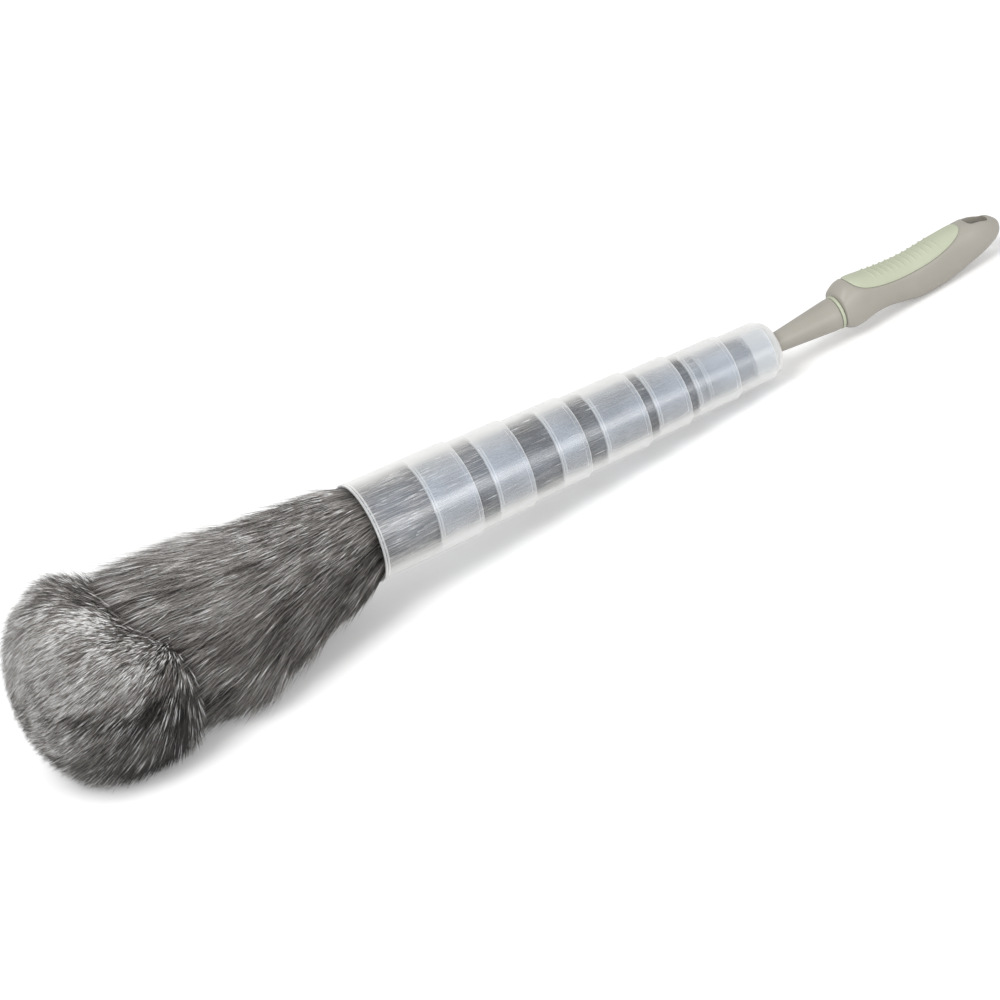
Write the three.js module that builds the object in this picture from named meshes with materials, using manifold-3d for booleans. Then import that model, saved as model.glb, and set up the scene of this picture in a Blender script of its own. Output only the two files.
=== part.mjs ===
// A static duster: a pile of fine fibres on a twisted wire core, under a telescoping clear sleeve,
// on a moulded neck and handle with a soft grip pad. It lies with the grip up, its fibre head and
// the belly of its handle on the floor. Millimetres, +Z up.
//
// Three frames are used. In the tool frame the sleeve's axis is X, with 0 at the sleeve's mouth,
// the handle at +X, the fibre tip at -X and the grip side at +Z. The neck frame starts at the bend
// in the neck and is turned up towards the grip side. The outer group lays the tool on the floor.

import * as THREE from 'three';
import { mergeVertices } from 'three/addons/utils/BufferGeometryUtils.js';
import Module from 'manifold-3d';

const wasm = await Module();
wasm.setup();

// Driving dimensions

const clearance = 0.3;
const mergeDistance = 1e-4;

const sleeve = {
  mouthRadius: 34.4,
  wall: 0.9,
  taper: 0.011,
  firstLength: 75.5,
  lengthStep: 1.95,
  overlaps: [32.3, 27.3, 21.6, 34.3, 25.6, 33, 54],
  beadHeight: 0.4,
  beadWidth: 3,
  lipHeight: 0.4,
  lipWidth: 2.5,
  shoulderRadius: 6,
  collarRadius: 9.6,
  segments: 24,
};

const core = {
  wireRadius: 1.25,
  pitch: 56,
  stepsPerTurn: 8,
  sides: 5,
  wireGap: 0.4,
  endGap: 0.6,
  socketDepth: 28,
};

const tipCap = {
  radius: 5,
  length: 14,
  socketDepth: 10,
  behindTip: 12,
};

const neck = {
  bendInsideSleeve: 15.4,
  rise: THREE.MathUtils.degToRad(2.5),
  noseRadius: 5,
  noseAhead: 4,
  waistRadius: 6.8,
  waistAt: 16,
  endRadius: 11.5,
  coneEnd: 63.2,
  length: 66.8,
  chamfer: 1,
  tangRadius: 7,
  tangLength: 27,
  segments: 24,
};

const neckRing = {
  proud: 0.5,
  width: 2.4,
  edge: 0.6,
};

const handle = {
  length: 135.3,
  squareness: 2.6,
  frontRound: 8,
  frontShare: 0.76,
  rearRound: 27,
  rearSquareness: 2.2,
  lastShare: 0.985,
  segments: 24,
  rows: 22,
};

// How far along the handle, then the heights of its top and bottom edges over the neck's axis and
// half its width, before the two ends are rounded.
const handleOutline = [
  { along: 0, top: 18.2, bottom: -14.6, half: 13.2 },
  { along: 0.11, top: 20, bottom: -14, half: 13.6 },
  { along: 0.18, top: 18.9, bottom: -12, half: 13.4 },
  { along: 0.27, top: 17.3, bottom: -11.9, half: 13 },
  { along: 0.36, top: 16.5, bottom: -14.3, half: 12.9 },
  { along: 0.445, top: 16.3, bottom: -16.6, half: 13 },
  { along: 0.535, top: 17.2, bottom: -16.5, half: 13.1 },
  { along: 0.64, top: 18.5, bottom: -14.9, half: 12.9 },
  { along: 0.755, top: 19.2, bottom: -11.4, half: 12.4 },
  { along: 0.855, top: 19, bottom: -8.3, half: 12 },
  { along: 1, top: 17, bottom: -6.2, half: 11.2 },
];

const gripPad = {
  startsAt: 12,
  length: 91,
  depth: 12,
  centreHeight: 18,
  curveSegments: 28,
  ridges: 12,
  ridgeStartsAt: 28,
  ridgeSpacing: 4.7,
  ridgeWidth: 1.9,
  ridgeHalfLength: 6.2,
  ridgeHeight: 0.6,
};

const hangSlot = {
  length: 16,
  width: 12.5,
  cornerRadius: 3.5,
  wallBehind: 8.8,
};

const pile = {
  insideGap: 0.4,
  endsBeforeCollar: 20,
  seam: 0.3,
  loft: 4,
  flareLength: 158,
  flareRound: 16,
  bulbLength: 93,
  bulbRound: 30,
  waistShare: 0.72,
  waistRound: 22,
  tipShare: 0.08,
  pressedFlat: 3,
  lowestAt: 188,
  segments: 24,
  rows: 12,
};

// The pile outside the sleeve: how far ahead of the mouth, how far its surface stands beyond the
// inside of the mouth, and how far its middle hangs below the wire.
const pileOutline = [
  { ahead: 0, spread: -0.4, drop: 0 },
  { ahead: 17, spread: 6.2, drop: 2.3 },
  { ahead: 34, spread: 11.7, drop: 4.5 },
  { ahead: 54, spread: 17.8, drop: 8 },
  { ahead: 68, spread: 21, drop: 10 },
  { ahead: 97, spread: 27.5, drop: 14 },
  { ahead: 125, spread: 28.1, drop: 13.6 },
  { ahead: 150, spread: 29, drop: 15 },
  { ahead: 174, spread: 33.5, drop: 15 },
  { ahead: 192, spread: 36.7, drop: 14 },
  { ahead: 205, spread: 34.5, drop: 14.5 },
  { ahead: 225, spread: 30, drop: 14 },
  { ahead: 251, spread: 29, drop: 15 },
];

const strands = {
  around: 24,
  share: 0.55,
  thickness: 2.4,
  rootDepth: 3,
  standOff: 6,
  flareRows: [7, 24, 41, 58, 75, 91, 107, 122],
  flareLength: 37,
  bulbRows: [165, 183, 200, 216, 231],
  bulbLength: 30,
  lastLength: 14,
};

// Materials

const finishes = {
  clearPolypropylene: { color: 0xdfe3e6, roughness: 0.35, metalness: 0 },
  taupePolypropylene: { color: 0xaca89e, roughness: 0.55, metalness: 0 },
  mintRubber: { color: 0xcdd4bc, roughness: 0.7, metalness: 0 },
  galvanisedWire: { color: 0x9a9c9e, roughness: 0.4, metalness: 1 },
  blackNylon: { color: 0x3b3b3a, roughness: 0.6, metalness: 0 },
  greyFibre: { color: 0x77746f, roughness: 0.85, metalness: 0 },
};

function piece(name, geometry, finish) {
  const mesh = new THREE.Mesh(geometry, new THREE.MeshStandardMaterial(finishes[finish]));
  mesh.name = name;
  return mesh;
}

// Solids

function toSolid(geometry) {
  const bare = geometry.clone();
  bare.deleteAttribute('normal');
  bare.deleteAttribute('uv');
  const closed = mergeVertices(bare, mergeDistance);
  const vertProperties = new Float32Array(closed.attributes.position.array);
  const triVerts = new Uint32Array(closed.index.array);
  return new wasm.Manifold(new wasm.Mesh({ numProp: 3, vertProperties, triVerts }));
}

function toGeometry(solid) {
  const mesh = solid.getMesh();
  const geometry = new THREE.BufferGeometry();
  geometry.setAttribute('position', new THREE.BufferAttribute(mesh.vertProperties, 3));
  geometry.setIndex(new THREE.BufferAttribute(mesh.triVerts, 1));
  geometry.computeVertexNormals();
  return geometry;
}

// A solid of revolution about X from [radius, along] points, outside first.
function turned(points, segments) {
  const profile = points.map(([radius, along]) => new THREE.Vector2(radius, along));
  return new THREE.LatheGeometry(profile, segments).rotateZ(-Math.PI / 2);
}

// A closed ring of revolution: the profile returns to its first point.
function turnedRing(points, segments) {
  return turned([...points, points[0]], segments);
}

// A cylinder along X, from one place on the axis to another.
function rod(radius, from, to, segments) {
  const geometry = new THREE.CylinderGeometry(radius, radius, to - from, segments);
  return geometry.rotateZ(-Math.PI / 2).translate((from + to) / 2, 0, 0);
}

// A closed tube along X whose every ring is placed by a function of the share of the length and of
// the point on a unit circle.
function shapedTube(segments, rows, place) {
  const geometry = new THREE.CylinderGeometry(1, 1, 1, segments, rows).rotateZ(-Math.PI / 2);
  const position = geometry.attributes.position;
  for (let i = 0; i < position.count; i += 1) {
    const share = position.getX(i) + 0.5;
    const point = place(share, position.getY(i), position.getZ(i));
    position.setXYZ(i, point.x, point.y, point.z);
  }
  return geometry;
}

// Shares of a length that crowd towards both ends, where the shape turns fastest.
const crowded = (share) => 0.5 - 0.5 * Math.cos(Math.PI * share);

// A quarter round that grows from first to 1 as share goes from 0 to 1.
function quarterRound(share, first, power) {
  const rest = 1 - THREE.MathUtils.clamp(share, 0, 1);
  return first + (1 - first) * (1 - rest ** power) ** (1 / power);
}

// Smooth values through rows of an outline, by the place that heads each row.
function smooth(rows, key, columns) {
  const places = rows.map((row) => row[key]);
  const values = rows.flatMap((row) => columns.map((column) => row[column]));
  const curve = new THREE.CubicInterpolant(places, values, columns.length);
  return (place) => [...curve.evaluate(place)];
}

// Sleeve: sections nest, each one smaller than the one before by the same step in radius, so that
// the rim bead and the lip clear the next wall where the most of a section shows.

const sectionCount = sleeve.overlaps.length + 1;
const sections = [];
for (let k = 0; k < sectionCount; k += 1) {
  const length = sleeve.firstLength - k * sleeve.lengthStep;
  const before = sections[k - 1];
  const start = before ? before.start + before.length - sleeve.overlaps[k - 1] : 0;
  sections.push({ length, start });
}
const shownLengths = sleeve.overlaps.map((overlap, k) => sections[k].length - overlap);
const rim = Math.max(sleeve.beadHeight, sleeve.lipHeight);
const radiusStep = sleeve.wall + rim + clearance + sleeve.taper * Math.max(...shownLengths);
sections.forEach((section, k) => {
  section.outer = (along) => sleeve.mouthRadius - k * radiusStep - sleeve.taper * along;
  section.inner = (along) => section.outer(along) - sleeve.wall;
});
const lastSection = sections[sectionCount - 1];
const sleeveEnd = lastSection.start + lastSection.length;

function mouthAndBead(section) {
  const { beadHeight, beadWidth } = sleeve;
  return [
    [section.inner(0), 0],
    [section.outer(0) + beadHeight, 0],
    [section.outer(beadWidth) + beadHeight, beadWidth],
    [section.outer(beadWidth + beadHeight), beadWidth + beadHeight],
  ];
}

function openSection(section) {
  const { lipHeight, lipWidth } = sleeve;
  const end = section.length;
  const lipStart = end - lipWidth;
  return turnedRing([
    ...mouthAndBead(section),
    [section.outer(end), end],
    [section.inner(end) - lipHeight, end],
    [section.inner(lipStart) - lipHeight, lipStart],
    [section.inner(lipStart - lipHeight), lipStart - lipHeight],
  ], sleeve.segments);
}

// The smallest section closes with a rounded shoulder and a collar that the neck passes through.
function collarSection(section) {
  const { shoulderRadius, wall, collarRadius } = sleeve;
  const arcStart = section.length - shoulderRadius;
  const arcCentre = section.outer(arcStart) - shoulderRadius;
  const arcAngles = [0, 0.33, 0.67, 1].map((share) => share * Math.PI / 2);
  const arc = (radius) => arcAngles.map((angle) => [
    arcCentre + radius * Math.cos(angle),
    arcStart + radius * Math.sin(angle),
  ]);
  return turnedRing([
    ...mouthAndBead(section),
    ...arc(shoulderRadius),
    [collarRadius, section.length],
    [collarRadius, section.length - wall],
    ...arc(shoulderRadius - wall).reverse(),
  ], sleeve.segments);
}

const sleeveGroup = new THREE.Group();
sections.forEach((section, k) => {
  const geometry = section === lastSection ? collarSection(section) : openSection(section);
  const mesh = piece(`sleeve_section_${k + 1}`, geometry, 'clearPolypropylene');
  mesh.position.x = section.start;
  sleeveGroup.add(mesh);
});

// Places along the tool that the other pieces share

const pileEnd = sleeveEnd - pile.endsBeforeCollar;
const tipAhead = pile.flareLength + pile.bulbLength;
const neckBend = sleeveEnd - neck.bendInsideSleeve;
const wireTurn = core.wireRadius + core.wireGap / 2;
const coreRadius = wireTurn + core.wireRadius;
const coreBore = coreRadius + clearance;
const capStart = -tipAhead + tipCap.behindTip;
const capEnd = capStart + tipCap.length;
const wireStart = capEnd - tipCap.socketDepth + core.endGap;
const wireEnd = neckBend + core.socketDepth - core.endGap;

// Core: two wires twisted together, straight through the pile and turned up with the neck.

class WireTwist extends THREE.Curve {
  constructor(phase) {
    super();
    this.phase = phase;
  }

  getPoint(share, target = new THREE.Vector3()) {
    const x = THREE.MathUtils.lerp(wireStart, wireEnd, share);
    const angle = this.phase + (2 * Math.PI * (x - wireStart)) / core.pitch;
    const rise = Math.tan(neck.rise) * Math.max(0, x - neckBend);
    return target.set(x, wireTurn * Math.cos(angle), wireTurn * Math.sin(angle) + rise);
  }
}

function coreWire(phase) {
  const section = new THREE.Shape();
  for (let side = 0; side < core.sides; side += 1) {
    const angle = (2 * Math.PI * side) / core.sides;
    const corner = [core.wireRadius * Math.cos(angle), core.wireRadius * Math.sin(angle)];
    if (side === 0) section.moveTo(...corner);
    else section.lineTo(...corner);
  }
  section.closePath();
  const turns = (wireEnd - wireStart) / core.pitch;
  return new THREE.ExtrudeGeometry(section, {
    steps: Math.ceil(turns * core.stepsPerTurn),
    bevelEnabled: false,
    extrudePath: new WireTwist(phase),
  });
}

// Tip cap: holds the ends of both wires, deep in the pile.

function tipCapSolid() {
  const { radius, length, socketDepth } = tipCap;
  const dome = radius / 2;
  return turned([
    [0, capStart],
    [radius - dome, capStart],
    [radius, capStart + dome],
    [radius, capStart + length],
    [coreBore, capStart + length],
    [coreBore, capEnd - socketDepth],
    [0, capEnd - socketDepth],
  ], neck.segments);
}

// Pile: bodies of the fibre head, with locks of fibre combed towards the tip.

const mouthInside = sections[0].inner(0);
const pileAt = smooth(pileOutline, 'ahead', ['spread', 'drop']);

function coveredPile() {
  const outside = [];
  sections.forEach((section, k) => {
    const from = k === 0 ? -pile.seam : section.start - pile.insideGap;
    const next = sections[k + 1];
    const to = next ? next.start - pile.insideGap : pileEnd;
    const radiusAt = (x) => section.inner(x - section.start) - pile.insideGap;
    outside.push([radiusAt(from), from], [radiusAt(to), to]);
  });
  return turnedRing([[coreBore, -pile.seam], ...outside, [coreBore, pileEnd]], sleeve.segments);
}

// The radius of the pile under its locks and the drop of its middle, some way ahead of the mouth.
function pileSurface(ahead) {
  const [spread, drop] = pileAt(ahead);
  const depth = pile.loft * THREE.MathUtils.smoothstep(ahead, 0, pile.flareRound);
  return { radius: mouthInside + spread - depth, drop };
}

// The flare's body turns in at its front end, and the bulb's at both of its ends.
function flareAt(ahead) {
  const { radius, drop } = pileSurface(ahead);
  const round = quarterRound((pile.flareLength - ahead) / pile.flareRound, pile.waistShare, 2);
  return { radius: radius * round, drop };
}

function bulbAt(ahead) {
  const { radius, drop } = pileSurface(ahead);
  const waist = quarterRound((ahead - pile.flareLength) / pile.waistRound, pile.waistShare, 2);
  const tip = quarterRound((tipAhead - ahead) / pile.bulbRound, pile.tipShare, 2);
  return { radius: radius * waist * tip, drop };
}

function pileBody(from, to, bodyAt) {
  return toSolid(shapedTube(pile.segments, pile.rows, (share, y, z) => {
    const ahead = THREE.MathUtils.lerp(to, from, crowded(share));
    const { radius, drop } = bodyAt(ahead);
    return { x: -ahead, y: y * radius, z: z * radius - drop };
  }));
}

// One lock: a three-sided spike that leaves the body at its root and stands off it at its tip.
function strand(root, length, angle, surfaceAt) {
  const geometry = new THREE.ConeGeometry(1, 1, 3);
  const position = geometry.attributes.position;
  const spacing = (2 * Math.PI * surfaceAt(root).radius) / strands.around;
  const halfWidth = (strands.share * spacing) / Math.sqrt(3);
  const outward = new THREE.Vector3(0, Math.sin(angle), Math.cos(angle));
  const forward = new THREE.Vector3(-1, 0, 0);
  const sideways = new THREE.Vector3().crossVectors(forward, outward);
  const point = new THREE.Vector3();
  for (let i = 0; i < position.count; i += 1) {
    const share = position.getY(i) + 0.5;
    const ahead = root + length * share;
    const { radius, drop } = surfaceAt(ahead);
    const lift = THREE.MathUtils.lerp(-strands.rootDepth, strands.standOff, share);
    point.set(-ahead, 0, -drop);
    point.addScaledVector(outward, radius + lift + strands.thickness * position.getZ(i));
    point.addScaledVector(sideways, halfWidth * position.getX(i));
    position.setXYZ(i, point.x, point.y, point.z);
  }
  return toSolid(geometry);
}

function strandRows(rows, lengthAt, surfaceAt) {
  const solids = [];
  rows.forEach((root, row) => {
    for (let k = 0; k < strands.around; k += 1) {
      const angle = (2 * Math.PI * (k + (row % 2) / 2)) / strands.around;
      solids.push(strand(root, lengthAt(root), angle, surfaceAt));
    }
  });
  return solids;
}

// Locks shorten towards the tip, where the bulb turns in.
function bulbStrandLength(root) {
  const [first] = strands.bulbRows;
  const last = strands.bulbRows[strands.bulbRows.length - 1];
  const share = THREE.MathUtils.smoothstep(root, first, last);
  return THREE.MathUtils.lerp(strands.bulbLength, strands.lastLength, share);
}

const flareLocks = strandRows(strands.flareRows, () => strands.flareLength, pileSurface);
const bulbLocks = strandRows(strands.bulbRows, bulbStrandLength, bulbAt);
const coreChannel = toSolid(rod(coreBore, capEnd - 1, 1, neck.segments));
const pocketRadius = tipCap.radius + clearance;
const capPocket = toSolid(rod(pocketRadius, capStart - clearance, capEnd + clearance, neck.segments));

// Neck: a tapered moulding with a socket for the wires ahead and a tang for the handle behind.

function neckSolid() {
  const { noseAhead, noseRadius, chamfer, waistRadius, waistAt, endRadius, coneEnd } = neck;
  const tangEnd = neck.length + neck.tangLength;
  return turned([
    [0, core.socketDepth],
    [coreBore, core.socketDepth],
    [coreBore, -noseAhead],
    [noseRadius - chamfer, -noseAhead],
    [noseRadius, chamfer - noseAhead],
    [waistRadius, waistAt],
    [endRadius, coneEnd],
    [endRadius, neck.length],
    [neck.tangRadius, neck.length],
    [neck.tangRadius, tangEnd - chamfer],
    [neck.tangRadius - chamfer, tangEnd],
    [0, tangEnd],
  ], neck.segments);
}

// Neck ring: a soft band on the tang, between the neck's shoulder and the handle's front.

function neckRingSolid() {
  const { edge, width } = neckRing;
  const inside = neck.tangRadius + clearance;
  const outside = neck.endRadius + neckRing.proud;
  return turnedRing([
    [inside, 0],
    [outside - edge, 0],
    [outside, edge],
    [outside, width - edge],
    [outside - edge, width],
    [inside, width],
  ], neck.segments);
}

const ringStart = neck.length + clearance;
const handleStart = ringStart + neckRing.width + clearance;
const handleEnd = handleStart + handle.length;

// Handle: squarish rings along a curved outline, with a socket, a hang slot and a seat for the pad.

const handleAt = smooth(handleOutline, 'along', ['top', 'bottom', 'half']);

function handleForm(grown) {
  return toSolid(shapedTube(handle.segments, handle.rows, (share, y, z) => {
    const along = crowded(share) * handle.lastShare;
    const [top, bottom, half] = handleAt(along);
    const fromFront = along * handle.length;
    const fromRear = handle.length - fromFront;
    const front = quarterRound(fromFront / handle.frontRound, handle.frontShare, 2);
    const rear = quarterRound(fromRear / handle.rearRound, 0, handle.rearSquareness);
    const power = handle.squareness;
    const reach = (Math.abs(y) ** power + Math.abs(z) ** power) ** (1 / power) || 1;
    const size = (front * rear) / reach;
    return {
      x: handleStart + fromFront / handle.lastShare,
      y: y * size * (half + grown),
      z: z * size * ((top - bottom) / 2 + grown) + (top + bottom) / 2,
    };
  }));
}

const handleWidest = 2 * Math.max(...handleOutline.map((row) => row.half)) + 20;
const handleTallest = 100;

// The pad's seat: an ellipse in side view, cut right across the handle.
function padCutter(grown) {
  const outline = new THREE.Shape();
  const middle = handleStart + gripPad.startsAt + gripPad.length / 2;
  const halfLength = gripPad.length / 2 + grown;
  outline.absellipse(middle, gripPad.centreHeight, halfLength, gripPad.depth + grown, 0, 2 * Math.PI);
  const geometry = new THREE.ExtrudeGeometry(outline, {
    depth: handleWidest,
    bevelEnabled: false,
    curveSegments: gripPad.curveSegments,
  });
  return toSolid(geometry.rotateX(Math.PI / 2).translate(0, handleWidest / 2, 0));
}

function ridgeBars() {
  const bars = [];
  for (let k = 0; k < gripPad.ridges; k += 1) {
    const bar = new THREE.BoxGeometry(gripPad.ridgeWidth, 2 * gripPad.ridgeHalfLength, handleTallest);
    const x = handleStart + gripPad.ridgeStartsAt + k * gripPad.ridgeSpacing;
    bars.push(toSolid(bar.translate(x, 0, handleTallest / 2)));
  }
  return wasm.Manifold.union(bars);
}

function slotCutter() {
  const { length, width, cornerRadius } = hangSlot;
  const x1 = handleEnd - hangSlot.wallBehind;
  const x0 = x1 - length;
  const y1 = width / 2;
  const outline = new THREE.Shape();
  outline.moveTo(x0 + cornerRadius, -y1);
  outline.lineTo(x1 - cornerRadius, -y1);
  outline.absarc(x1 - cornerRadius, -y1 + cornerRadius, cornerRadius, -Math.PI / 2, 0);
  outline.absarc(x1 - cornerRadius, y1 - cornerRadius, cornerRadius, 0, Math.PI / 2);
  outline.absarc(x0 + cornerRadius, y1 - cornerRadius, cornerRadius, Math.PI / 2, Math.PI);
  outline.absarc(x0 + cornerRadius, -y1 + cornerRadius, cornerRadius, Math.PI, 1.5 * Math.PI);
  const geometry = new THREE.ExtrudeGeometry(outline, {
    depth: handleTallest,
    bevelEnabled: false,
    curveSegments: 5,
  });
  return toSolid(geometry.translate(0, 0, -handleTallest / 2));
}

const tangSocketEnd = neck.length + neck.tangLength + clearance;
const tangSocketRadius = neck.tangRadius + clearance;
const tangSocket = toSolid(rod(tangSocketRadius, handleStart - 1, tangSocketEnd, neck.segments));
const handlePlain = handleForm(0);
const ridges = handleForm(gripPad.ridgeHeight).intersect(ridgeBars());
const gripPadSolid = handlePlain.add(ridges).intersect(padCutter(0));
const handleSolid = handlePlain.subtract(padCutter(clearance)).subtract(slotCutter()).subtract(tangSocket);
const handleGeometry = toGeometry(handleSolid);

const neckGroup = new THREE.Group();
neckGroup.position.x = neckBend;
neckGroup.rotation.y = -neck.rise;
neckGroup.updateMatrix();
const ringMesh = piece('neck_ring', neckRingSolid(), 'mintRubber');
ringMesh.position.x = ringStart;
neckGroup.add(
  piece('neck', neckSolid(), 'taupePolypropylene'),
  ringMesh,
  piece('handle_body', handleGeometry, 'taupePolypropylene'),
  piece('grip_pad', toGeometry(gripPadSolid), 'mintRubber'),
);

// Floor: it touches the pressed underside of the bulb and the lowest side of the handle.

const lowest = bulbAt(pile.lowestAt);
const headRest = new THREE.Vector3(-pile.lowestAt, 0, pile.pressedFlat - lowest.radius - lowest.drop);

function floorTilt() {
  const vertex = new THREE.Vector3();
  const position = handleGeometry.attributes.position;
  let tilt = Math.PI / 2;
  for (let i = 0; i < position.count; i += 1) {
    vertex.fromBufferAttribute(position, i).applyMatrix4(neckGroup.matrix).sub(headRest);
    tilt = Math.min(tilt, Math.atan2(vertex.z, vertex.x));
  }
  return tilt;
}

const tilt = floorTilt();

function belowFloor() {
  const size = 4 * tipAhead;
  const geometry = new THREE.BoxGeometry(size, size, size).translate(0, 0, -size / 2);
  return toSolid(geometry.rotateY(-tilt).translate(headRest.x, headRest.y, headRest.z));
}

function headPiece(body, locks) {
  const fused = wasm.Manifold.union([body, ...locks]);
  return toGeometry(fused.subtract(coreChannel).subtract(capPocket).subtract(belowFloor()));
}

const flareBody = pileBody(2 * pile.seam, pile.flareLength, flareAt);
const bulbBody = pileBody(pile.flareLength + pile.seam, tipAhead, bulbAt);
const pileGroup = new THREE.Group();
pileGroup.add(
  piece('fibre_covered', coveredPile(), 'greyFibre'),
  piece('fibre_flare', headPiece(flareBody, flareLocks), 'greyFibre'),
  piece('fibre_tip', headPiece(bulbBody, bulbLocks), 'greyFibre'),
  piece('core_wire_a', coreWire(0), 'galvanisedWire'),
  piece('core_wire_b', coreWire(Math.PI), 'galvanisedWire'),
  piece('tip_cap', tipCapSolid(), 'blackNylon'),
);

// The whole tool, laid on the floor with the middle of its box over the origin

const duster = new THREE.Group();
duster.add(sleeveGroup, pileGroup, neckGroup);
duster.rotation.y = tilt;
duster.updateMatrixWorld(true);
const box = new THREE.Box3().setFromObject(duster, true);
const middle = box.getCenter(new THREE.Vector3());
duster.position.set(-middle.x, -middle.y, -box.min.z);
duster.updateMatrixWorld(true);

export default duster;
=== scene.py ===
"""The looks of a static duster: a combed fibre head under a frosted telescoping sleeve, on a taupe
handle with a soft mint pad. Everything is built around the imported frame, in metres."""

import math

import bmesh
import bpy
import numpy as np
from mathutils import Matrix, Vector


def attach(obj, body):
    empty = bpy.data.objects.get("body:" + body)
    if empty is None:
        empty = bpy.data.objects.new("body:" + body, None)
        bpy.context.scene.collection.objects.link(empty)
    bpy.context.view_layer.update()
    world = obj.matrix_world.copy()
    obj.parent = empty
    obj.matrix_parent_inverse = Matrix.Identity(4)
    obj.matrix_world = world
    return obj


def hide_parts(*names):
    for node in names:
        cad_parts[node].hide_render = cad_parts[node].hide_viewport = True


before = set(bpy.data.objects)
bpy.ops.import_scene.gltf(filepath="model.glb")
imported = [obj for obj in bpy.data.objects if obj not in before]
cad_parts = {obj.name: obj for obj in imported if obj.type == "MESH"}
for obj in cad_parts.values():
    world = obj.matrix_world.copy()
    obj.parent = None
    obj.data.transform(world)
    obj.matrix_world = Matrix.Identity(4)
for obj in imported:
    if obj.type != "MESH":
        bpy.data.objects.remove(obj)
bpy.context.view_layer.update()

# The tool's sizes are in millimetres. In its frame the sleeve's axis is X, with 0 at the sleeve's
# mouth, the handle at +X and the grip side at +Z. The neck's frame starts at the bend in the neck.

MM = 0.001
NEAR_POINTS = 0.002 * MM
SHARP_EDGE = math.radians(38)
# The most of an edge that the easing of one corner takes
EASED_SHARE = 0.45
TOOL_TILT = math.radians(5.98369)
TOOL_PLACE = np.array([-128.8439, 0.0, 57.0219])
NECK_BEND = np.array([305.9, 0.0, 0.0])
NECK_RISE = math.radians(2.5)


def turned_about_y(points, angle):
    points = np.asarray(points, float)
    x = points[..., 0] * math.cos(angle) + points[..., 2] * math.sin(angle)
    z = points[..., 2] * math.cos(angle) - points[..., 0] * math.sin(angle)
    return np.stack([x, points[..., 1], z], axis=-1)


def from_tool(points):
    return (turned_about_y(points, TOOL_TILT) + TOOL_PLACE) * MM


def from_neck(points):
    return from_tool(turned_about_y(points, -NECK_RISE) + NECK_BEND)


def smoothstep(low, high, value):
    share = np.clip((np.asarray(value, float) - low) / (high - low), 0, 1)
    return share * share * (3 - 2 * share)


def quarter_round(share, first, power):
    """Grows from first to 1 in a quarter round as share goes from 0 to 1."""
    rest = 1 - np.clip(share, 0, 1)
    return first + (1 - first) * (1 - rest**power) ** (1 / power)


def smooth_curve(rows):
    """A smooth curve through rows that start with their place along it."""
    table = np.array(rows, float)
    places, values = table[:, 0], table[:, 1:]
    slopes = np.gradient(values, places, axis=0)

    def at(place):
        place = np.asarray(place, float)
        i = np.clip(np.searchsorted(places, place) - 1, 0, len(places) - 2)
        step = places[i + 1] - places[i]
        t = ((place - places[i]) / step)[..., None]
        step = step[..., None]
        start = (2 * t**3 - 3 * t**2 + 1) * values[i] + (t**3 - 2 * t**2 + t) * step * slopes[i]
        end = (3 * t**2 - 2 * t**3) * values[i + 1] + (t**3 - t**2) * step * slopes[i + 1]
        return np.moveaxis(start + end, -1, 0)

    return at


# Meshes


def new_piece(name, mesh):
    piece = bpy.data.objects.new(name, mesh)
    bpy.context.scene.collection.objects.link(piece)
    return piece


def shell(name, rings, looped=False):
    """A closed mesh through rings of points: looped back on itself, or capped at both ends."""
    rows, sides = rings.shape[:2]
    index = np.arange(rows * sides).reshape(rows, sides)
    if looped:
        index = np.vstack([index, index[:1]])
    beside = np.roll(index, -1, axis=1)
    quads = np.stack([index[:-1], beside[:-1], beside[1:], index[1:]], axis=-1).reshape(-1, 4)
    faces = quads.tolist()
    if not looped:
        faces += [index[0][::-1].tolist(), index[-1].tolist()]
    mesh = bpy.data.meshes.new(name)
    mesh.from_pydata(rings.reshape(-1, 3).tolist(), [], faces)
    work = bmesh.new()
    work.from_mesh(mesh)
    bmesh.ops.recalc_face_normals(work, faces=work.faces)
    work.to_mesh(mesh)
    work.free()
    mesh.shade_smooth()
    mesh.set_sharp_from_angle(angle=SHARP_EDGE)
    return new_piece(name, mesh)


def rounded(corners, radius, steps=5):
    """A closed profile with each corner eased to a curve of about that radius."""
    corners = np.array(corners, float)
    befores, afters = np.roll(corners, 1, axis=0), np.roll(corners, -1, axis=0)
    points = []
    for before, corner, after in zip(befores, corners, afters):
        back, ahead = before - corner, after - corner
        shorter = min(np.linalg.norm(back), np.linalg.norm(ahead))
        ease = min(radius, EASED_SHARE * shorter)
        start = corner + back / np.linalg.norm(back) * ease
        end = corner + ahead / np.linalg.norm(ahead) * ease
        for t in np.linspace(0, 1, steps):
            points.append((1 - t) ** 2 * start + 2 * t * (1 - t) * corner + t**2 * end)
    return np.array(points)


def revolved(name, profile, sides, place):
    """A turned piece from a closed profile of (along, radius) points."""
    angle = 2 * math.pi * np.arange(sides) / sides
    along, radius = profile[:, :1], profile[:, 1:]
    rings = np.stack([along + 0 * angle, radius * np.sin(angle), radius * np.cos(angle)], axis=-1)
    return shell(name, place(rings), looped=True)


def made_plain(piece):
    """The piece's evaluated mesh in place of its modifiers."""
    evaluated = piece.evaluated_get(bpy.context.evaluated_depsgraph_get())
    mesh = bpy.data.meshes.new_from_object(evaluated)
    piece.modifiers.clear()
    piece.data = mesh


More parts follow.
